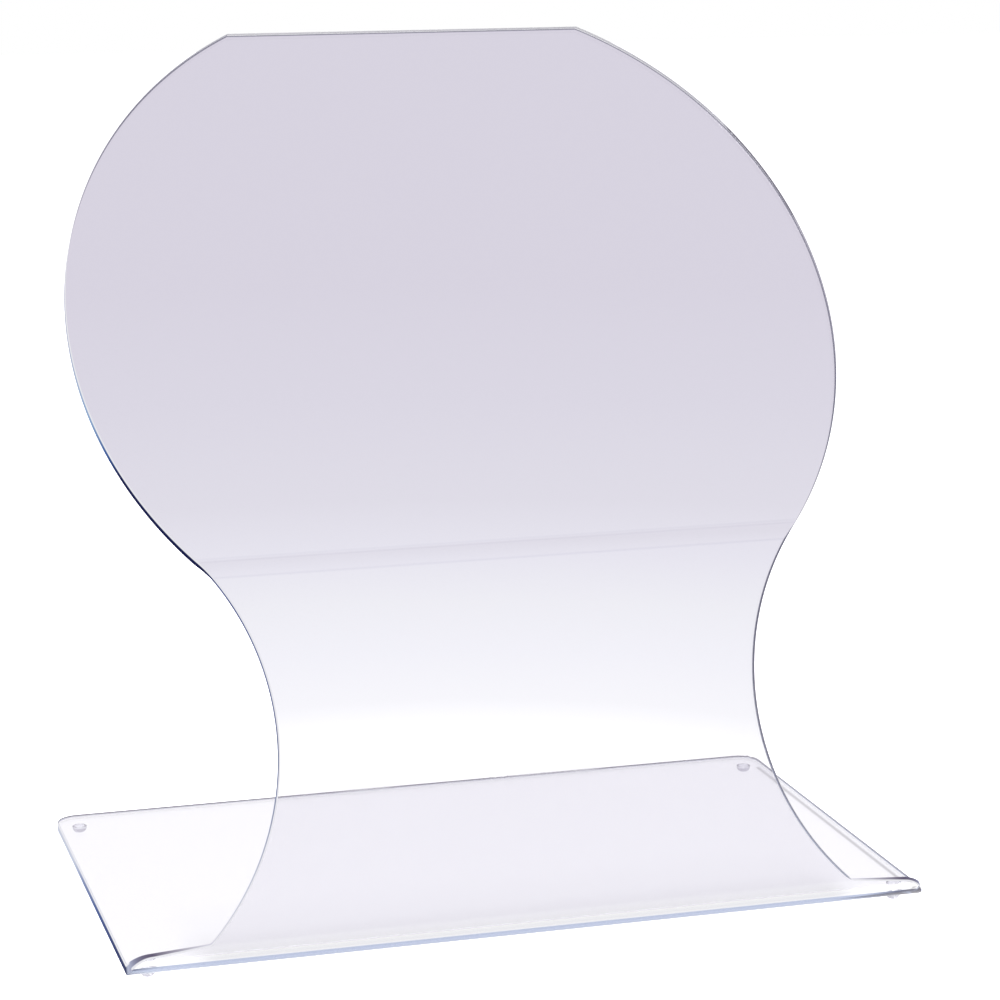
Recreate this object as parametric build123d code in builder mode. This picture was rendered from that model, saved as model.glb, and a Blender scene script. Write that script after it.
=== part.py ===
"""Bench splash shield: one bent sheet of clear plastic on four bumper feet.

X runs left to right, Y from the user towards the back of the bench, Z up.
The origin is on the bench, under the middle of the shield. The base plate
points away from the user, and the panel rises from its front edge and leans
back over it. Distances up the panel are read along its front face, from the
end of the front bend. Sizes are in millimetres and degrees.
"""

from build123d import *

import os
from math import cos, degrees, hypot, pi, radians, sin, sqrt

# Sheet and base plate
thickness = 4.5
base_width = 343.0
base_depth = 212.0  # from the front of the bend to the back edge
corner_radius = 10.0  # in the flat sheet, at all four corners of the base

# Front bend
front_bend_inner = 5.5  # inside radius
shoulder_turn = 86.3  # how far round the bend the base's front corners end
rise_turn = 15.5  # degrees more, over which the shoulders rise to the panel

# Lower panel
lower_lean = 19.2  # back from upright
lower_run = 146.0  # length of its flat part

# Upper bend
upper_bend_inner = 20.0  # inside radius

# Upper panel, a disc with a flat top
upper_lean = 38.2  # back from upright
disc_radius = 170.5
disc_height = 263.0  # centre of the disc, up the front face
top_width = 163.5  # of the flat top edge

# Neck and waist
root_width = 276.1  # of the panel, where it meets the shoulders
waist_width = 207.0
waist_height = 80.0  # up the front face

# Bumper feet
foot_diameter = 6.5
foot_height = 3.0
foot_wall = 0.6  # height of the straight side above the dome
foot_spot = 2.4  # diameter of the flat spot that meets the bench
foot_bend_gap = 0.25  # from the end of the bend to the front feet
foot_back_inset = 13.5  # centre to the back edge
foot_side_inset = 9.5  # centre to the side edge

# Worked out from the sizes above
bend_outer = front_bend_inner + thickness
upper_bend_outer = upper_bend_inner + thickness
corner_turn = degrees(corner_radius / bend_outer)
neck_turn = 90 + lower_lean - shoulder_turn - rise_turn
upper_turn = upper_lean - lower_lean
root_height = -bend_outer * radians(neck_turn)  # below the end of the bend
upper_start = lower_run + upper_bend_outer * radians(upper_turn)
top_height = disc_height + sqrt(disc_radius**2 - (top_width / 2) ** 2)
upper_run = top_height - upper_start
foot_x = base_width / 2 - foot_side_inset

# Below the waist an arc flares out to the shoulders
root_half, waist_half = root_width / 2, waist_width / 2
flare = root_half - waist_half
neck_rise = waist_height - root_height
neck_radius = (flare**2 + neck_rise**2) / (2 * flare)

# Above the waist an arc runs on to touch the disc's circle
disc_rise = disc_height - waist_height
waist_radius = (waist_half**2 + disc_rise**2 - disc_radius**2) / (
    2 * (disc_radius - waist_half)
)
touch_share = waist_radius / hypot(waist_half + waist_radius, disc_rise)
touch_height = waist_height + disc_rise * touch_share

# The top edge reaches back over the base, and the origin is midway
lower_slope, upper_slope = radians(lower_lean), radians(upper_lean)
top_reach = (
    bend_outer * (1 - cos(lower_slope))
    + lower_run * sin(lower_slope)
    + upper_bend_outer * (cos(lower_slope) - cos(upper_slope))
    + upper_run * sin(upper_slope)
    + thickness * cos(upper_slope)
)
front_y = -max(base_depth, top_reach) / 2
side_plane = Plane((0, front_y, foot_height), x_dir=(0, 1, 0), z_dir=(1, 0, 0))


def panel_half_width(height):
    """Half the panel's width at a height up the front face."""
    if height > touch_height:
        return sqrt(disc_radius**2 - (height - disc_height) ** 2)
    radius = waist_radius if height > waist_height else neck_radius
    return waist_half + radius - sqrt(radius**2 - (height - waist_height) ** 2)


def face_plane(run, start):
    """Plane on the front face of a straight run, whose local Y is the height
    up the face, with the value start where the run begins."""
    along = run % 0
    return Plane(run @ 0 - along * start, (1, 0, 0), Vector(1, 0, 0).cross(along))


def bend_plane(bend, share):
    """Plane across the sheet at a share of a bend. Its local Y points from the
    front face to the centre of the bend."""
    return Plane(bend @ share, (1, 0, 0), bend % share)


def rolled_strip(bend, turn, stations):
    """One stretch of a bend, rolled about the bend's centre and cut square to
    its faces. Each station is a share of the bend and the half width there."""
    overcut = min(thickness, front_bend_inner) / 2
    with BuildPart() as strip:
        widest = max(half_width for _, half_width in stations)
        with BuildSketch(bend_plane(bend, 0)):
            Rectangle(2 * (widest + overcut), thickness, align=(Align.CENTER, Align.MIN))
        revolve(axis=Axis(bend.arc_center, (-1, 0, 0)), revolution_arc=turn)
        for share, half_width in stations:
            with BuildSketch(bend_plane(bend, share)):
                with Locations((0, thickness / 2)):
                    Rectangle(2 * half_width, thickness + 2 * overcut)
        loft(mode=Mode.INTERSECT)
    return strip.part


# Front face of the sheet, seen from the side
with BuildLine(side_plane) as front_face:
    base_line = Line((base_depth, 0), (bend_outer, 0))
    plain_roll = JernArc(
        base_line @ 1, base_line % 1, bend_outer, corner_turn - shoulder_turn
    )
    corner_roll = JernArc(plain_roll @ 1, plain_roll % 1, bend_outer, -corner_turn)
    shoulder_roll = JernArc(corner_roll @ 1, corner_roll % 1, bend_outer, -rise_turn)
    neck_roll = JernArc(shoulder_roll @ 1, shoulder_roll % 1, bend_outer, -neck_turn)
    lower_line = Line(neck_roll @ 1, neck_roll @ 1 + (neck_roll % 1) * lower_run)
    upper_bend = JernArc(lower_line @ 1, lower_line % 1, upper_bend_outer, -upper_turn)
    upper_line = Line(upper_bend @ 1, upper_bend @ 1 + (upper_bend % 1) * upper_run)

# Outline of the panel in the flat sheet, from its root to the top edge
with BuildSketch() as panel_blank:
    with BuildLine() as panel_edge:
        root = (root_half, root_height)
        waist = (waist_half, waist_height)
        touch = (panel_half_width(touch_height), touch_height)
        top_corner = (top_width / 2, top_height)
        Line((0, root_height), root)
        TangentArc(waist, root, tangent=(0, -1))
        TangentArc(waist, touch, tangent=(0, 1))
        ThreePointArc(touch, (disc_radius, disc_height), top_corner)
        Line(top_corner, (0, top_height))
        mirror(about=Plane.YZ)
    make_face()

# The base's front corners are rounded in the flat sheet, so their arcs run
# up the bend, and the shoulders rise from them to the panel's root; the neck
# and the upper bend follow the panel's outline
corner_steps = 8
corner_angles = [pi / 2 * step / corner_steps for step in range(corner_steps + 1)]
corner_stations = [
    (sin(angle), base_width / 2 - corner_radius * (1 - cos(angle)))
    for angle in corner_angles
]
shoulder_stations = [(0, base_width / 2 - corner_radius), (1, root_half)]
bend_shares = [0, 0.25, 0.5, 0.75, 1]
neck_stations = [
    (share, panel_half_width(root_height * (1 - share))) for share in bend_shares
]
upper_stations = [
    (share, panel_half_width(lower_run + (upper_start - lower_run) * share))
    for share in bend_shares
]
front_corners = rolled_strip(corner_roll, corner_turn, corner_stations)
shoulders = rolled_strip(shoulder_roll, rise_turn, shoulder_stations)
neck = rolled_strip(neck_roll, neck_turn, neck_stations)
upper_fold = rolled_strip(upper_bend, upper_turn, upper_stations)

# The shield: base plate, front bend, lower panel, upper bend, upper panel
with BuildPart() as shield_sheet:
    with BuildSketch(Plane.XY.offset(foot_height)) as base_outline:
        with Locations((0, front_y + bend_outer)):
            Rectangle(
                base_width, base_depth - bend_outer, align=(Align.CENTER, Align.MIN)
            )
        fillet(base_outline.vertices().group_by(Axis.Y)[-1], corner_radius)
    extrude(amount=thickness)
    with BuildSketch(bend_plane(plain_roll, 0)):
        Rectangle(base_width, thickness, align=(Align.CENTER, Align.MIN))
    revolve(
        axis=Axis(plain_roll.arc_center, (-1, 0, 0)),
        revolution_arc=shoulder_turn - corner_turn,
    )
    add(front_corners)
    add(shoulders)
    add(neck)
    with BuildSketch(face_plane(lower_line, 0)):
        add(panel_blank.sketch)
        Rectangle(
            base_width, lower_run, align=(Align.CENTER, Align.MIN), mode=Mode.INTERSECT
        )
    extrude(amount=-thickness)
    add(upper_fold)
    with BuildSketch(face_plane(upper_line, upper_start)):
        add(panel_blank.sketch)
        with Locations((0, upper_start)):
            Rectangle(
                2 * disc_radius,
                upper_run,
                align=(Align.CENTER, Align.MIN),
                mode=Mode.INTERSECT,
            )
    extrude(amount=-thickness)

# Bumper feet: a short wall, a dome, and the spot it flattens to on the bench
front_foot_y = front_y + bend_outer + foot_bend_gap + foot_diameter / 2
back_foot_y = front_y + base_depth - foot_back_inset
foot_places = {
    "foot_front_left": (-foot_x, front_foot_y),
    "foot_front_right": (foot_x, front_foot_y),
    "foot_back_left": (-foot_x, back_foot_y),
    "foot_back_right": (foot_x, back_foot_y),
}
feet = {}
for foot_name, (x, y) in foot_places.items():
    with BuildPart() as foot:
        with BuildSketch(Plane((x, y, 0), x_dir=(1, 0, 0), z_dir=(0, -1, 0))):
            with BuildLine():
                rim = (foot_diameter / 2, foot_height)
                wall_end = (foot_diameter / 2, foot_height - foot_wall)
                spot_edge = (foot_spot / 2, 0)
                Polyline(spot_edge, (0, 0), (0, foot_height), rim, wall_end)
                TangentArc(wall_end, spot_edge, tangent=(0, -1))
            make_face()
        revolve(axis=Axis((x, y, 0), (0, 0, 1)))
    foot.part.label = foot_name
    feet[foot_name] = foot.part

shield_sheet.part.label = "shield_sheet"

os.makedirs("parts", exist_ok=True)
export_step(shield_sheet.part, "parts/shield_sheet.step")
for foot_name, foot_part in feet.items():
    export_step(foot_part, f"parts/{foot_name}.step")
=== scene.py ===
"""Bench splash shield: the looks of one bent sheet of clear plastic on four
clear bumper feet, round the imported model. Lengths are in metres."""

import math

import bpy
import numpy as np
from mathutils import Matrix, Vector


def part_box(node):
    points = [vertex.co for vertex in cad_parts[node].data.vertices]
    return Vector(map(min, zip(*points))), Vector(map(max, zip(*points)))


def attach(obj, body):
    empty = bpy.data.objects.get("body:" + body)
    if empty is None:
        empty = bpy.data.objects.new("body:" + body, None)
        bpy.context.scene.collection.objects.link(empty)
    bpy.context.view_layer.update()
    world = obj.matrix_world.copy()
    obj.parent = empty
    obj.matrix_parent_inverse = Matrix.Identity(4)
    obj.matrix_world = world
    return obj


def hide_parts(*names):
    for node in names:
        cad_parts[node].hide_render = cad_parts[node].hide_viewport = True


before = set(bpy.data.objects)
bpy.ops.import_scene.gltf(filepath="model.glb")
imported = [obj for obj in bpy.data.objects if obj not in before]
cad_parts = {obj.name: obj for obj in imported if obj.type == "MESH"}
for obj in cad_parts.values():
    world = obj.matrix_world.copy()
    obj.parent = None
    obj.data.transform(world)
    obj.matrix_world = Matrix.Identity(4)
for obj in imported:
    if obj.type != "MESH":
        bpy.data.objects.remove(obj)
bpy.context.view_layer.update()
scene = bpy.context.scene

# ---------------------------------------------------------------- the sheet

sheet_low, sheet_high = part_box("shield_sheet")
sheet_half = (sheet_high.x - sheet_low.x) / 2
thickness = 0.0045
base_depth = 0.212
corner_radius = 0.010
front_bend = 0.010  # radius of the outer face, as all the sheet's sizes are
shoulder_turn = math.radians(86.3)  # round the bend, to the front corners' end
rise_turn = math.radians(15.5)  # more of it, where the shoulders rise
lower_lean = math.radians(19.2)
lower_run = 0.146
upper_bend = 0.0245
upper_lean = math.radians(38.2)
root_half = 0.13805
waist_half = 0.1035
waist_height = 0.080
disc_radius = 0.1705
disc_height = 0.263
top_half = 0.08175
eased_edge = 0.0004  # the cut edges are scraped and flamed, not knife sharp
corner_step = 0.0004  # from a sharp corner to the nearest points

# The bumpers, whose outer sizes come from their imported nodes
bumper_wall = 0.0006
bumper_spot = 0.0012  # radius of the flat spot that meets the bench
bumper_rim = 0.00025
render_gap = 0.00004  # under the sheet, as thick as the bumper's glue

# How finely the curves are drawn
corner_points = 21
flare_points = 24
disc_points = 110
ease_points = 5
bumper_rim_points = 6
bumper_dome_points = 20
bumper_ring_points = 64

# Heights are read up the outer face, from the end of the front bend.
front_arc = front_bend * (math.pi / 2 + lower_lean)
base_flat = base_depth - front_bend
back_edge = -front_arc - base_flat
corner_end = front_bend * shoulder_turn - front_arc
root_height = corner_end + front_bend * rise_turn
upper_start = lower_run + upper_bend * (upper_lean - lower_lean)
top_height = disc_height + math.sqrt(disc_radius**2 - top_half**2)

# The five stretches of the sheet from its back edge to its top: how long each
# is, and how fast it turns.
lengths = np.array(
    [base_flat, front_arc, lower_run, upper_start - lower_run, top_height - upper_start]
)
curves = np.array([0, 1 / front_bend, 0, 1 / upper_bend, 0])
starts = back_edge + np.cumsum(lengths) - lengths
turns = np.cumsum(curves * lengths) - curves * lengths


def travel(reach, turned, curve):
    """How far a stretch gets in Y and Z: the length of its chord, which is its
    length times sin(half its turn) / half its turn, along its middle heading."""
    half_turn = curve * reach / 2
    chord = reach * np.sinc(half_turn / math.pi)
    heading = turned + half_turn
    return np.stack([-chord * np.cos(heading), chord * np.sin(heading)], -1)


steps = travel(lengths, turns, curves)
places = np.array([sheet_low.y + base_depth, sheet_low.z]) + np.cumsum(steps, 0) - steps


def on_sheet(across, up, deep):
    """Points of the flat pattern on the bent sheet, at a depth below its outer
    face, with the directions up the sheet and into it: each point travels on
    from the start of its stretch, then goes straight in."""
    stretch = np.clip(np.searchsorted(starts, up, side="right") - 1, 0, len(starts) - 1)
    reach = up - starts[stretch]
    face = places[stretch] + travel(reach, turns[stretch], curves[stretch])
    turn = turns[stretch] + curves[stretch] * reach
    none = np.zeros_like(turn)
    upward = np.stack([none, -np.cos(turn), np.sin(turn)], 1)
    inward = np.stack([none, np.sin(turn), np.cos(turn)], 1)
    points = np.column_stack([across, face]) + inward * deep[:, None]
    return points, upward, inward


# The panel's outline: an arc flares from the waist to the shoulders, another
# runs from the waist until it touches the disc. The faces stop one eased edge
# inside it, on circles round the same centres.
neck_rise = waist_height - root_height
neck_radius = ((root_half - waist_half) ** 2 + neck_rise**2) / (
    2 * (root_half - waist_half)
)
disc_rise = disc_height - waist_height
waist_radius = (waist_half**2 + disc_rise**2 - disc_radius**2) / (
    2 * (disc_radius - waist_half)
)
waist_to_disc = waist_radius + disc_radius
face_waist = waist_half - eased_edge
face_neck_radius = neck_radius + eased_edge
face_waist_radius = waist_radius + eased_edge
face_disc_radius = disc_radius - eased_edge
face_corner_radius = corner_radius - eased_edge
face_top = top_height - eased_edge
face_touch = waist_height + disc_rise * face_waist_radius / waist_to_disc

# The shoulders are straight in the flat sheet, and meet the panel's outline in
# a corner that lies on the bisector of their two normals.
square_half = sheet_half - corner_radius
shoulder_slope = math.atan2(root_height - corner_end, square_half - root_half)
shoulder_normal = np.array([math.sin(shoulder_slope), math.cos(shoulder_slope)])
neck_normal = np.array([waist_half + neck_radius - root_half, neck_rise]) / neck_radius
root_mitre = shoulder_normal + neck_normal
root_mitre *= 2 / (root_mitre**2).sum()
face_root_half, face_root = [root_half, root_height] - eased_edge * root_mitre


def face_half(height):
    """Half the width of the panel's faces at a height, from the circle that
    the faces' edge lies on there."""
    radius = np.where(height > waist_height, face_waist_radius, face_neck_radius)
    from_waist = np.maximum(radius**2 - (height - waist_height) ** 2, 0)
    from_disc = np.maximum(face_disc_radius**2 - (height - disc_height) ** 2, 0)
    return np.where(
        height > face_touch,
        np.sqrt(from_disc),
        face_waist + radius - np.sqrt(from_waist),
    )


def arc_heights(centre, radius, low, high, count):
    """Heights of points evenly spaced round a circle, between two heights."""
    ends = np.arcsin((np.array([low, high]) - centre) / radius)
    return centre + radius * np.sin(np.linspace(*ends, count))


def base_rows():
    """The rows across the base and the front bend, up to the shoulders: the
    half width and the height where each ends at the side, and its height in
    the middle. All four corners are arcs of circles, and the rows that end on
    a front corner rise towards the middle as the shoulders do."""
    back_corner = np.linspace(0, math.pi / 2, corner_points)
    front_corner = np.linspace(0, math.pi / 2 - shoulder_slope, corner_points)[1:]
    front_centre = corner_end - corner_radius / math.cos(shoulder_slope)
    back_centre = back_edge + corner_radius
    back = back_centre - face_corner_radius * np.cos(back_corner)
    plain = np.linspace(back_centre, -front_arc, 10)[1:]
    roll = np.linspace(-front_arc, front_centre, 6)[1:]
    front = front_centre + face_corner_radius * np.sin(front_corner)
    rising = np.linspace(front_centre, face_root, corner_points)[1:]
    back_half = square_half + face_corner_radius * np.sin(back_corner)
    front_half = square_half + face_corner_radius * np.cos(front_corner)
    full = np.full(len(plain) + len(roll), sheet_half - eased_edge)
    return (
        np.concatenate([back_half, full, front_half]),
        np.concatenate([back, plain, roll, front]),
        np.concatenate([back, plain, roll, rising]),
    )


def panel_rows():
    """Heights and half widths of the rows across the panel, the first of them
    between the shoulders."""
    arcs = (
        (waist_height, face_neck_radius, face_root, waist_height, flare_points),
        (waist_height, face_waist_radius, waist_height, face_touch, flare_points),
        (disc_height, face_disc_radius, face_touch, face_top, disc_points),
    )
    heights = np.concatenate(
        [
            [face_root + corner_step, face_top - corner_step],
            np.linspace(face_root, 0, 5),
            np.linspace(lower_run, upper_start, 11),
            *(arc_heights(*arc) for arc in arcs),
        ]
    )
    heights = np.unique(np.round(heights, 7))
    return heights, face_half(heights)


def outline_frame(points):
    """Outward normals round the flat outline. The first are the bisectors of
    its corners, lengthened so that an offset keeps every side's distance; the
    second are unit normals, which the longer side turns the more."""
    sides = np.roll(points, -1, 0) - points
    size = np.linalg.norm(sides, axis=1, keepdims=True)
    after = np.column_stack([sides[:, 1], -sides[:, 0]]) / size
    before, size_before = np.roll(after, 1, 0), np.roll(size, 1, 0)
    bisector = before + after
    bisector *= 2 / (bisector**2).sum(1, keepdims=True)
    shading = before * size_before + after * size
    return bisector, shading / np.linalg.norm(shading, axis=1, keepdims=True)


def quads(grid):
    """The faces between a grid's rows and columns of point numbers."""
    corners = [grid[:-1, :-1], grid[:-1, 1:], grid[1:, 1:], grid[1:, :-1]]
    return np.stack(corners, -1).reshape(-1, 4)


def new_piece(name, points, normals, faces, material):
    """A smooth mesh with its own normals, as an object that rides on the
    shield."""
    mesh = bpy.data.meshes.new(name)
    mesh.from_pydata(points.tolist(), [], faces)
    mesh.polygons.foreach_set("use_smooth", np.ones(len(faces), bool))
    mesh.normals_split_custom_set_from_vertices(normals.tolist())
    mesh.materials.append(material)
    piece = bpy.data.objects.new(name, mesh)
    scene.collection.objects.link(piece)
    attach(piece, "root")
    return piece


def flat_pattern():
    """The grid that both faces share, over the flat sheet: how far across and
    up each point lies, the grid's faces, and the points round its outline,
    anticlockwise from the back left. The panel's grid stands on the middle
    columns of the base's last row, and the rest of that row is the two
    shoulders."""
    side_half, side_up, middle_up = base_rows()
    panel_height, panel_width = panel_rows()
    near = corner_step / root_half
    inner = np.concatenate([[-1], np.linspace(near - 1, 1 - near, 13), [1]])
    outer = np.array([0.02, 0.3, 0.6, 1])  # shares of the way out to the side
    wings = face_root_half + (side_half[:, None] - face_root_half) * outer
    wings_up = middle_up[:, None] + (side_up - middle_up)[:, None] * outer
    middle = np.tile(inner * face_root_half, (len(side_half), 1))
    level = np.tile(middle_up[:, None], len(inner))
    base_across = np.hstack([-wings[:, ::-1], middle, wings])
    base_up = np.hstack([wings_up[:, ::-1], level, wings_up])
    panel_across = inner * panel_width[1:, None]
    across = np.concatenate([base_across.ravel(), panel_across.ravel()])
    up = np.concatenate([base_up.ravel(), np.repeat(panel_height[1:], len(inner))])

    base = np.arange(base_across.size).reshape(base_across.shape)
    left, right = len(outer), len(outer) + len(inner) - 1
    panel = base.size + np.arange(panel_across.size).reshape(-1, len(inner))
    panel = np.vstack([base[-1, left : right + 1], panel])
    outline = np.concatenate(
        [
            base[0],
            base[1:, -1],
            base[-1, right:-1][::-1],
            panel[1:, -1],
            panel[-1, :-1][::-1],
            panel[1:-1, 0][::-1],
            base[-1, : left + 1][::-1],
            base[1:-1, 0][::-1],
        ]
    )
    return across, up, np.vstack([quads(base), quads(panel)]), outline


def edge_profile():
    """The cut edge's profile, from the outer face to the inner one, where each
    eased edge is a quarter of a circle: how deep each of its lines lies below
    the outer face, and which way it looks, outwards and inwards."""
    ease = np.linspace(0, math.pi / 2, ease_points)[1:]
    outwards, inwards = np.sin(ease), np.cos(ease)
    depth = eased_edge * (1 - inwards)
    return (
        np.concatenate([depth, thickness - depth[::-1]]),
        np.concatenate([outwards, outwards[::-1]]),
        np.concatenate([-inwards, inwards[::-1]]),
    )


def build_sheet(name, material):
    """The whole sheet as one closed mesh: the flat pattern's grid bent into
    both faces, and the edge's profile carried round the outline from one to
    the other. What the finish of the cut edges follows goes with it as named
    values at its points."""
    across, up, skin, outline = flat_pattern()
    depth, looks_out, looks_in = edge_profile()
    rim = np.column_stack([across, up])[outline]
    bisector, shading = outline_frame(rim)
    lines = rim + eased_edge * looks_out[:, None, None] * bisector
    turned = looks_out[:, None, None] * shading
    still = np.zeros(len(across))
    way_up = np.concatenate([up, lines[..., 1].ravel(), up])
    points, upward, inward = on_sheet(
        np.concatenate([across, lines[..., 0].ravel(), across]),
        way_up,
        np.concatenate([still, np.repeat(depth, len(rim)), still + thickness]),
    )
    look_up = np.concatenate([still, turned[..., 1].ravel(), still])
    look_in = np.concatenate([still - 1, np.repeat(looks_in, len(rim)), still + 1])
    normals = upward * look_up[:, None] + inward * look_in[:, None]
    normals[:, 0] += np.concatenate([still, turned[..., 0].ravel(), still])

    on_edge = len(across) + np.arange(lines[..., 0].size).reshape(-1, len(rim))
    far = len(across) + on_edge.size
    rings = np.vstack([outline, on_edge, outline + far])
    rings = np.hstack([rings, rings[:, :1]])
    faces = np.vstack([skin, skin[:, ::-1] + far, quads(rings)[:, ::-1]])
    piece = new_piece(name, points, normals, faces.tolist(), material)

    # The way through the sheet runs from its underside up to its top face in
    # the base, and from its back to its front face in the panel.
    sides = np.linalg.norm(np.roll(rim, -1, 0) - rim, axis=1)
    cut, way_round, through = np.zeros((3, len(points)))
    cut[on_edge] = 1
    way_round[on_edge] = np.cumsum(sides) - sides
    through[on_edge] = depth[:, None] / thickness
    through = np.where(way_up < -front_arc / 2, through, 1 - through)
    for meaning, values in (
        ("cut_edge", cut),
        ("way_through", through),
        ("way_round_rim", way_round),
        ("way_up_sheet", way_up),
    ):
        layer = piece.data.attributes.new(meaning, "FLOAT", "POINT")
        layer.data.foreach_set("value", values.astype(np.float32))
    return piece


def build_bumper(name, low, high, material):
    """A bumper foot, turned about its middle: a flat top, a short wall with an
    eased rim, and a dome whose arc ends on the flat spot it stands on. Each
    ring of points lies on one of the profile's two circles, at an angle above
    level, and looks that way."""
    radius = (high.x - low.x) / 2
    top = high.z - low.z - render_gap
    dome_start = high.z - low.z - bumper_wall
    reach = radius - bumper_spot
    dome_radius = (reach**2 + dome_start**2) / (2 * reach)
    rim = np.linspace(math.pi / 2, 0, bumper_rim_points)
    steepest = math.asin(dome_start / dome_radius)
    dome = -np.linspace(0, steepest, bumper_dome_points)
    angle = np.concatenate([rim, dome])
    counts = [len(rim), len(dome)]
    circle = np.repeat([bumper_rim, dome_radius], counts)
    centre = np.repeat([top - bumper_rim, dome_start], counts)
    out = radius - circle + circle * np.cos(angle)
    rise = centre + circle * np.sin(angle)

    around = np.linspace(0, 2 * math.pi, bumper_ring_points + 1)[:-1]
    spokes = np.column_stack([np.cos(around), np.sin(around), 0 * around])
    middle = np.array([(low.x + high.x) / 2, (low.y + high.y) / 2, low.z])
    upright = np.array([0, 0, 1])
    rings = middle + out[:, None, None] * spokes + rise[:, None, None] * upright
    look = np.cos(angle)[:, None, None] * spokes
    look = look + np.sin(angle)[:, None, None] * upright
    poles = [middle + top * upright, middle]
    points = np.vstack([rings.reshape(-1, 3), poles])
    normals = np.vstack([look.reshape(-1, 3), [upright, -upright]])
    grid = np.arange(out.size * around.size).reshape(out.size, -1)
    grid = np.hstack([grid, grid[:, :1]])
    first, last = grid[0], grid[-1]
    crown = np.full(around.size, out.size * around.size)
    faces = quads(grid)[:, ::-1].tolist()
    faces += np.stack([crown, first[:-1], first[1:]], 1).tolist()
    faces += np.stack([crown + 1, last[1:], last[:-1]], 1).tolist()
    return new_piece(name, points, normals, faces, material)


# ------------------------------------------------------------- node helpers


def rgb(red, green, blue):
    """An sRGB colour, as 0 to 255, as the linear values that nodes take."""
    value = np.array([red, green, blue]) / 255
    linear = np.where(value > 0.04045, ((value + 0.055) / 1.055) ** 2.4, value / 12.92)
    return tuple(linear.tolist())


def feed(tree, node, inputs):
    """Give a node's inputs their constants, or join them to output sockets."""
    for slot, value in inputs.items():
        if isinstance(value, bpy.types.NodeSocket):
            tree.links.new(value, node.inputs[slot])
        else:
            node.inputs[slot].default_value = value


def new_node(tree, kind, inputs=None, **settings):
    """A node of a kind, with its own settings and what its inputs take."""
    node = tree.nodes.new("ShaderNode" + kind)
    for setting, value in settings.items():
        setattr(node, setting, value)
    feed(tree, node, inputs or {})
    return node


def math_node(tree, operation, first, second):
    """The output of a Math node on two sockets or numbers."""
    inputs = {0: first, 1: second}
    return new_node(tree, "Math", inputs, operation=operation).outputs[0]


def gap_node(tree, value, place=0.0):
    """How far a value lies from a place, on either side."""
    return math_node(tree, "ABSOLUTE", math_node(tree, "SUBTRACT", value, place), 0.0)


def map_node(tree, value, from_low, from_high, to_low, to_high):
    """The output of a smooth Map Range node."""
    inputs = {
        "Value": value,
        "From Min": from_low,
        "From Max": from_high,
        "To Min": to_low,
        "To Max": to_high,
    }
    smooth = new_node(tree, "MapRange", inputs, interpolation_type="SMOOTHSTEP")
    return smooth.outputs[0]


def mix_values(tree, share, first, second):
    """A number on the way from the first to the second."""
    inputs = {0: share, 2: first, 3: second}
    return new_node(tree, "Mix", inputs, data_type="FLOAT").outputs[0]


def mix_colours(tree, share, first, second, blend_type="MIX"):
    """A colour on the way from the first to the second, or to their product."""
    inputs = {0: share, 6: first, 7: second}
    mix = new_node(tree, "Mix", inputs, data_type="RGBA", blend_type=blend_type)
    return mix.outputs[2]


def colour_ramp(tree, value, stops):
    """The colour at a value, from stops of a value and a linear colour."""
    low, high = stops[0][0], stops[-1][0]
    spread = new_node(
        tree, "MapRange", {"Value": value, "From Min": low, "From Max": high}
    )
    ramp = new_node(tree, "ValToRGB", {0: spread.outputs[0]})
    while len(ramp.color_ramp.elements) < len(stops):
        ramp.color_ramp.elements.new(0.5)
    for stop, (place, colour) in zip(ramp.color_ramp.elements, stops):
        stop.position = (place - low) / (high - low)
        stop.color = (*colour, 1)
    return ramp.outputs[0]


def mix_shaders(tree, share, first, second):
    """A shader node on the way from the first to the second."""
    inputs = {0: share, 1: first.outputs[0], 2: second.outputs[0]}
    return new_node(tree, "MixShader", inputs)


def mix_in_glow(tree, share, surface, colour):
    """A surface with a share of light of a colour in its place."""
    glow = new_node(tree, "Emission", {"Color": colour})
    return mix_shaders(tree, share, surface, glow)


def let_light_through(tree, surface, output, tint):
    """Rays from lamps pass the plastic with a tint in place of bending."""
    path = new_node(tree, "LightPath").outputs
    clear = new_node(tree, "BsdfTransparent", {"Color": (*tint, 1)})
    passed = mix_shaders(tree, path["Is Shadow Ray"], surface, clear)
    feed(tree, output, {"Surface": passed.outputs[0]})


def new_material(name):
    """An empty node material: its tree, a Principled shader and its output."""
    material = bpy.data.materials.new(name)
    material.use_nodes = True
    tree = material.node_tree
    return material, tree, tree.nodes["Principled BSDF"], tree.nodes["Material Output"]


# ---------------------------------------------------------------- materials


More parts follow.
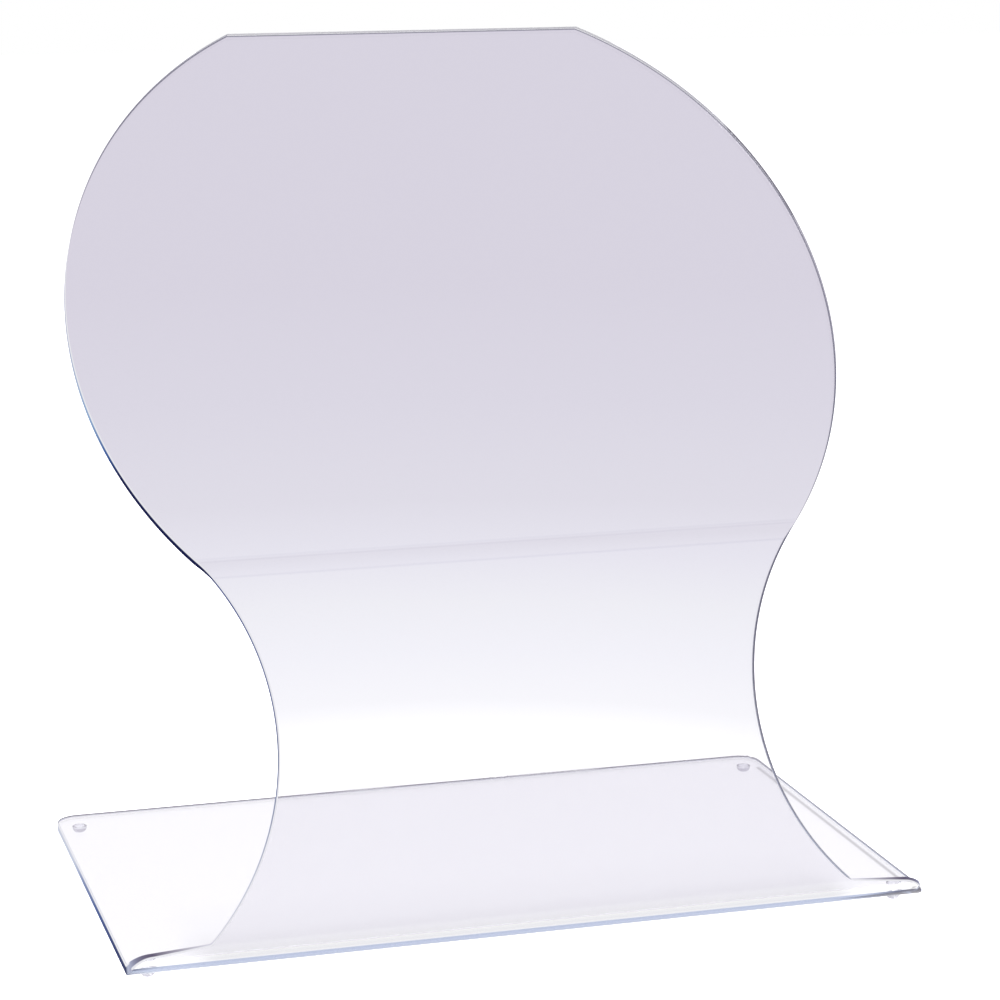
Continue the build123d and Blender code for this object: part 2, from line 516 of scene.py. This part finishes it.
def handling_marks():
    """Shader group: faint cloudy smudges left by hands and hairlines left by
    wiping. It gives a mask of the smudges, the roughness that they make, and
    a height for both."""
    group = bpy.data.node_groups.new("handling marks", "ShaderNodeTree")
    for name, kind, in_out in (
        ("Vector", "NodeSocketVector", "INPUT"),
        ("Smudges per Metre", "NodeSocketFloat", "INPUT"),
        ("Hairlines per Metre", "NodeSocketFloat", "INPUT"),
        ("Clean Roughness", "NodeSocketFloat", "INPUT"),
        ("Smudged Roughness", "NodeSocketFloat", "INPUT"),
        ("Smudge", "NodeSocketFloat", "OUTPUT"),
        ("Roughness", "NodeSocketFloat", "OUTPUT"),
        ("Height", "NodeSocketFloat", "OUTPUT"),
    ):
        group.interface.new_socket(name=name, in_out=in_out, socket_type=kind)
    given = group.nodes.new("NodeGroupInput").outputs
    result = group.nodes.new("NodeGroupOutput")
    clouds = {
        "Vector": given["Vector"],
        "Scale": given["Smudges per Metre"],
        "Detail": 5,
        "Roughness": 0.6,
        "Distortion": 0.8,
    }
    cloud = new_node(group, "TexNoise", clouds).outputs["Fac"]
    smudge = map_node(group, cloud, 0.5, 0.72, 0.0, 1.0)
    turn = {"Vector": given["Vector"], "Rotation": (0.3, 0.5, 0.9)}
    turned = new_node(group, "VectorRotate", turn, rotation_type="EULER_XYZ")
    stretch = {0: turned.outputs[0], 1: (1, 0.03, 0.03)}
    stretched = new_node(group, "VectorMath", stretch, operation="MULTIPLY")
    wipes = {
        "Vector": stretched.outputs[0],
        "Scale": given["Hairlines per Metre"],
        "Detail": 1,
    }
    wipe = new_node(group, "TexNoise", wipes).outputs["Fac"]
    hairline = map_node(group, wipe, 0.66, 0.74, 0.0, 1.0)
    roughness = map_node(
        group, smudge, 0.0, 1.0, given["Clean Roughness"], given["Smudged Roughness"]
    )
    height = math_node(group, "SUBTRACT", cloud, hairline)
    feed(group, result, {"Smudge": smudge, "Roughness": roughness, "Height": height})
    return group


def place_marks(tree, group, smudges, hairlines, clean, smudged):
    """The handling marks in a material, on Object coordinates, at its own
    scale and strength: what they put out, and those coordinates."""
    spot = new_node(tree, "TexCoord").outputs["Object"]
    inputs = {
        "Vector": spot,
        "Smudges per Metre": smudges,
        "Hairlines per Metre": hairlines,
        "Clean Roughness": clean,
        "Smudged Roughness": smudged,
    }
    return new_node(tree, "Group", inputs, node_tree=group).outputs, spot


def point_value(tree, meaning):
    """One of the named values that the sheet's points carry."""
    return new_node(tree, "Attribute", attribute_name=meaning).outputs["Fac"]


SHEET_TINT = (0.905, 0.902, 0.925, 1)
# The cut edges' glass is tinted dark: painted shade on the edges
EDGE_SHADE_TINT = (0.20, 0.20, 0.25, 1)
HEATED_TINT = (0.93, 0.93, 0.95, 1)
SHEET_SHADOW = (0.95, 0.95, 0.97)
BUMPER_TINT = (0.80, 0.80, 0.84, 1)
SMUDGED_TINT = (0.68, 0.68, 0.74, 1)
BUMPER_SHADOW = (0.85, 0.85, 0.88)
RIPPLES_PER_METRE = 700

# Painted glow standing in for the light trapped in the sheet, by height above
# the bench, and what is left of it at the sides of the base
PAINTED_TRAPPED_GLOW = [
    (0.000, rgb(190, 201, 228)),
    (0.012, rgb(190, 201, 228)),
    (0.040, rgb(110, 118, 150)),
    (0.140, rgb(34, 44, 84)),
    (0.190, rgb(34, 44, 84)),
    (0.260, rgb(110, 110, 132)),
    (0.360, rgb(120, 117, 134)),
]
PAINTED_GLOW_AT_SIDE = (0.12, 0.14, 0.24, 1)

# The painted glow that the cut edges show from outside, by the way up the
# sheet: painted deep where the edge looks down the sheet, and painted pale
# where it looks up, as light falls in there
EDGE_PAINTED_GLOW = [
    # along the side of the base, from the back corner
    (-0.222, rgb(170, 172, 190)),
    (-0.205, rgb(205, 209, 224)),
    (-0.160, rgb(200, 206, 224)),
    (-0.135, rgb(140, 152, 188)),
    (-0.090, rgb(74, 92, 146)),
    (-0.040, rgb(38, 52, 104)),
    (-0.016, rgb(40, 50, 92)),
    # round the front corner and up the shoulder
    (-0.0120, rgb(186, 192, 214)),
    (-0.0075, rgb(150, 152, 176)),
    (-0.0050, rgb(84, 78, 104)),
    (-0.0028, rgb(112, 102, 122)),
    (-0.0021, rgb(214, 212, 224)),
    # up the waist
    (0.020, rgb(192, 196, 212)),
    (0.050, rgb(140, 148, 176)),
    (0.080, rgb(122, 128, 158)),
    (0.120, rgb(110, 120, 156)),
    (0.143, rgb(74, 86, 136)),
    # round the disc, from the upper bend to the top
    (0.149, rgb(4, 12, 66)),
    (0.196, rgb(4, 16, 74)),
    (0.206, rgb(56, 90, 152)),
    (0.222, rgb(140, 168, 204)),
    (0.260, rgb(190, 195, 210)),
    (0.300, rgb(166, 164, 182)),
    (0.405, rgb(150, 147, 166)),
]
# Painted light on the cut edges' upper half, painted shade seen along them from within
# the sheet, and the middle of the stretch where that shade is strongest
EDGE_PAINTED_LIGHT = (0.84, 0.84, 0.88, 1)
EDGE_PAINTED_SHADE = (0.125, 0.115, 0.155, 1)
PAINTED_SHADE_STRETCH = 0.331  # its middle, up the sheet


def light_in_sheet(tree, surface, spot):
    """After four reflections inside the plastic a ray has gone far along the
    sheet, so it meets a painted glow for the light trapped there in place of
    bending on. That painted light is dimmer towards the sides of the base."""
    reflections = new_node(tree, "LightPath").outputs["Glossy Depth"]
    far_along = math_node(tree, "GREATER_THAN", reflections, 3.5)
    place = new_node(tree, "SeparateXYZ", {0: spot}).outputs
    aside = gap_node(tree, place["X"])
    at_side = map_node(tree, aside, sheet_half - 0.02, sheet_half, 0.0, 1.0)
    trapped = colour_ramp(tree, place["Z"], PAINTED_TRAPPED_GLOW)
    trapped = mix_colours(tree, at_side, trapped, PAINTED_GLOW_AT_SIDE, "MULTIPLY")
    return mix_in_glow(tree, far_along, surface, trapped)


def light_from_edges(tree, surface, edge, way_up):
    """Painted light and shade on the cut edges. From outside, the half of a cut
    edge next to the face that is turned up or forward is painted pale with
    light, and the other half shows the painted trapped light. From within the
    sheet, a painted line of shade runs along that face's rim. It is fainter
    round the upper panel, apart from one stretch below the top corners."""
    through = point_value(tree, "way_through")
    painted_light_half = map_node(tree, through, 0.68, 0.84, 0.0, 1.0)
    outside = colour_ramp(tree, way_up, EDGE_PAINTED_GLOW)
    outside = mix_colours(tree, painted_light_half, outside, EDGE_PAINTED_LIGHT)
    faint = map_node(tree, way_up, 0.19, 0.23, 1.0, 0.55)
    off_stretch = gap_node(tree, way_up, PAINTED_SHADE_STRETCH)
    stretch = map_node(tree, off_stretch, 0.022, 0.032, 1.0, 0.0)
    strength = math_node(tree, "MAXIMUM", faint, stretch)
    painted_shade_line = map_node(tree, through, 0.15, 0.4, 0.0, 0.95)
    painted_shade_line = math_node(tree, "MULTIPLY", painted_shade_line, strength)
    within = new_node(tree, "NewGeometry").outputs["Backfacing"]
    share = mix_values(tree, within, 0.95, painted_shade_line)
    share = math_node(tree, "MULTIPLY", edge, share)
    colour = mix_colours(tree, within, outside, EDGE_PAINTED_SHADE)
    return mix_in_glow(tree, share, surface, colour)


def clear_sheet_plastic(marks_group):
    """The sheet's plastic: polished faces with faint handling marks, and cut
    edges with the ripples of a saw, which a flame has only softened. Heating
    for the upper bend leaves a faint line along each side of it."""
    material, tree, shader, output = new_material("clear plastic sheet")
    marks, spot = place_marks(tree, marks_group, 22.0, 420.0, 0.0, 0.05)
    edge = point_value(tree, "cut_edge")
    way_up = point_value(tree, "way_up_sheet")

    below, above = gap_node(tree, way_up, lower_run), gap_node(tree, way_up, upper_start)
    off_line = math_node(tree, "MINIMUM", below, above)
    heated = map_node(tree, off_line, 0.0, 0.0008, 1.0, 0.0)
    # Painted shade: the cut edges take a dark tint
    tint = mix_colours(tree, edge, SHEET_TINT, EDGE_SHADE_TINT)
    tint = mix_colours(tree, heated, tint, HEATED_TINT, "MULTIPLY")

    saw = {
        "W": point_value(tree, "way_round_rim"),
        "Scale": RIPPLES_PER_METRE,
        "Detail": 3,
    }
    ripple = new_node(tree, "TexNoise", saw, noise_dimensions="1D").outputs["Fac"]
    sawn_roughness = map_node(tree, ripple, 0.3, 0.7, 0.06, 0.16)
    sawn_height = math_node(tree, "MULTIPLY", ripple, edge)
    marks_height = math_node(tree, "MULTIPLY", marks["Height"], 0.06)
    height = math_node(tree, "ADD", marks_height, sawn_height)
    bump = new_node(tree, "Bump", {"Distance": 0.00003, "Height": height})
    finish = {
        "Transmission Weight": 1.0,
        "IOR": 1.57,
        "Base Color": tint,
        "Roughness": mix_values(tree, edge, marks["Roughness"], sawn_roughness),
        "Normal": bump.outputs[0],
    }
    feed(tree, shader, finish)
    surface = light_in_sheet(tree, shader, spot)
    surface = light_from_edges(tree, surface, edge, way_up)
    let_light_through(tree, surface, output, SHEET_SHADOW)
    return material


def clear_bumper_plastic(marks_group):
    """The bumpers' soft moulded plastic, a little milky where it is smudged."""
    material, tree, shader, output = new_material("clear bumper")
    marks, _ = place_marks(tree, marks_group, 450.0, 3000.0, 0.04, 0.12)
    bump = new_node(tree, "Bump", {"Distance": 0.00002, "Height": marks["Height"]})
    finish = {
        "Transmission Weight": 1.0,
        "IOR": 1.5,
        "Base Color": mix_colours(tree, marks["Smudge"], BUMPER_TINT, SMUDGED_TINT),
        "Roughness": marks["Roughness"],
        "Normal": bump.outputs[0],
    }
    feed(tree, shader, finish)
    let_light_through(tree, shader, output, BUMPER_SHADOW)
    return material


# ------------------------------------------------------------------- pieces

marks_group = handling_marks()
clear_plastic = clear_sheet_plastic(marks_group)
bumper_plastic = clear_bumper_plastic(marks_group)

sheet = build_sheet("clear_sheet_body", clear_plastic)
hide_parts("shield_sheet")

for name in list(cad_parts):
    if name.startswith("foot_"):
        low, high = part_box(name)
        foot = build_bumper(name.replace("foot", "bumper"), low, high, bumper_plastic)
        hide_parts(name)

# ------------------------------------------------------- floor, light, camera

# The paper sweep, as it shows through the plastic, with painted light by the
# distance from the middle of the shield: a painted pool of light near it that
# falls off to greys further away. Linear red, green and blue
PAINTED_SWEEP_LIGHT = [
    (0.20, (1.25, 1.25, 1.25)),
    (0.28, (1.06, 1.06, 1.08)),
    (0.38, (1.01, 1.01, 1.05)),
    (0.50, (0.965, 0.965, 1.00)),
    (0.64, (0.890, 0.878, 0.945)),
    (0.80, (0.826, 0.806, 0.875)),
    (1.21, (0.785, 0.760, 0.842)),
    (1.90, (0.758, 0.726, 0.812)),
]
FAR_SWEEP = (*PAINTED_SWEEP_LIGHT[-1][1], 1)
CEILING = (0.70, 0.68, 0.75, 1)
PAPER = (0.85, 0.85, 0.86, 1)
PAPER_GLOW = 0.82  # what the rest of a white room adds to it, to the camera
WHITE = (1, 1, 1, 1)

# Where the shield shades the paper under it, by the way from front to back,
# and a line under the cut sides of its base
UNDER_BEND = [
    (-0.140, 1.00),
    (-0.112, 0.86),
    (-0.100, 0.74),
    (-0.085, 0.82),
    (-0.058, 0.95),
    (-0.020, 1.00),
]
UNDER_EDGE = 0.5
FLOOR_HALF = 6.0


def shade_under_shield(tree, colour, spot):
    """The paper's colour with the shield's shade on it: under the front bend,
    as far to the sides as the panel reaches, and along the base's sides."""
    place = new_node(tree, "SeparateXYZ", {0: spot}).outputs
    aside = gap_node(tree, place["X"])
    shade_stops = [(reach, (share, share, share)) for reach, share in UNDER_BEND]
    bend_shade = colour_ramp(tree, place["Y"], shade_stops)
    under_panel = map_node(tree, aside, root_half - 0.006, root_half + 0.012, 1.0, 0.0)
    bend_shade = mix_colours(tree, under_panel, WHITE, bend_shade)
    from_middle = gap_node(tree, place["Y"], sheet_low.y + base_depth / 2)
    straight_half = base_depth / 2 - corner_radius
    past_end = math_node(tree, "SUBTRACT", from_middle, straight_half)
    from_side = gap_node(tree, aside, sheet_half - 0.0005)
    off_line = math_node(tree, "MAXIMUM", from_side, past_end)
    edge_shade = map_node(tree, off_line, 0.0, 0.0018, UNDER_EDGE, 1.0)
    shaded = {0: colour, 1: bend_shade}
    shaded = new_node(tree, "VectorMath", shaded, operation="MULTIPLY")
    shaded = {0: shaded.outputs[0], "Scale": edge_shade}
    return new_node(tree, "VectorMath", shaded, operation="SCALE").outputs[0]


def paper_sweep():
    """White paper that runs far back. Rays that have passed or met the plastic
    see it with painted light: bright near the shield and falling off to greys
    with distance, and with the shield's shade."""
    material, tree, shader, output = new_material("paper sweep")
    tree.nodes.remove(shader)
    spot = new_node(tree, "TexCoord").outputs["Object"]
    distance = new_node(tree, "VectorMath", {0: spot}, operation="LENGTH")
    sweep = colour_ramp(tree, distance.outputs["Value"], PAINTED_SWEEP_LIGHT)
    shaded = shade_under_shield(tree, sweep, spot)
    seen_through = new_node(tree, "Emission", {"Color": shaded})
    lit = new_node(tree, "BsdfDiffuse", {"Color": PAPER})
    glow = new_node(tree, "Emission", {"Strength": PAPER_GLOW})
    bright = new_node(tree, "AddShader", {0: lit.outputs[0], 1: glow.outputs[0]})
    path = new_node(tree, "LightPath").outputs
    plain = mix_shaders(tree, path["Is Camera Ray"], lit, bright)
    by_plastic = math_node(
        tree, "MAXIMUM", path["Is Transmission Ray"], path["Is Glossy Ray"]
    )
    paper = mix_shaders(tree, by_plastic, plain, seen_through)
    feed(tree, output, {"Surface": paper.outputs[0]})
    return material


def light_room():
    """The room: the far sweep up to a third of the way overhead, then a dim
    ceiling, and plain white to the camera."""
    world = bpy.data.worlds.new("studio")
    scene.world = world
    world.use_nodes = True
    tree = world.node_tree
    direction = new_node(tree, "TexCoord").outputs["Generated"]
    upwards = new_node(tree, "SeparateXYZ", {0: direction}).outputs["Z"]
    overhead = map_node(tree, upwards, 0.35, 0.75, 0.0, 1.0)
    room = tree.nodes["Background"]
    feed(tree, room, {"Color": mix_colours(tree, overhead, FAR_SWEEP, CEILING)})
    white = new_node(tree, "Background", {"Color": WHITE})
    path = new_node(tree, "LightPath").outputs
    seen = mix_shaders(tree, path["Is Camera Ray"], room, white)
    feed(tree, tree.nodes["World Output"], {"Surface": seen.outputs[0]})


def soft_light(name, place, aim, size, power):
    """A square lamp at a place, turned towards a point."""
    lamp = bpy.data.lights.new(name, "AREA")
    lamp.size = size
    lamp.energy = power
    holder = bpy.data.objects.new(name, lamp)
    holder.location = place
    turn = (Vector(aim) - Vector(place)).to_track_quat("-Z", "Y")
    holder.rotation_euler = turn.to_euler()
    scene.collection.objects.link(holder)


floor_mesh = bpy.data.meshes.new("floor")
corners = np.array([[-1, -1, 0], [1, -1, 0], [1, 1, 0], [-1, 1, 0]]) * FLOOR_HALF
floor_mesh.from_pydata(corners.tolist(), [], [[0, 1, 2, 3]])
floor_mesh.materials.append(paper_sweep())
floor = bpy.data.objects.new("floor", floor_mesh)
scene.collection.objects.link(floor)

light_room()
shield_middle = (0, 0, 0.15)
soft_light("overhead softbox", (0.2, 0.5, 1.6), shield_middle, 1.2, 18)
soft_light("front left softbox", (-1.3, -1.0, 1.2), shield_middle, 0.8, 10)

camera_place = Vector((-0.3469, -1.2592, 0.4390))
camera_yaw = math.radians(15.99)  # to the right of straight ahead
camera_pitch = math.radians(11.77)  # below level
camera_roll = math.radians(0.333)
photo_width = 1000
focal_pixels = 3065
camera_data = bpy.data.cameras.new("camera")
camera_data.sensor_width = 36
camera_data.lens = camera_data.sensor_width * focal_pixels / photo_width
camera = bpy.data.objects.new("camera", camera_data)
turn = (
    Matrix.Rotation(-camera_yaw, 4, "Z")
    @ Matrix.Rotation(math.pi / 2 - camera_pitch, 4, "X")
    @ Matrix.Rotation(-camera_roll, 4, "Z")
)
camera.matrix_world = Matrix.Translation(camera_place) @ turn
scene.collection.objects.link(camera)
scene.camera = camera
scene.view_settings.view_transform = "Standard"
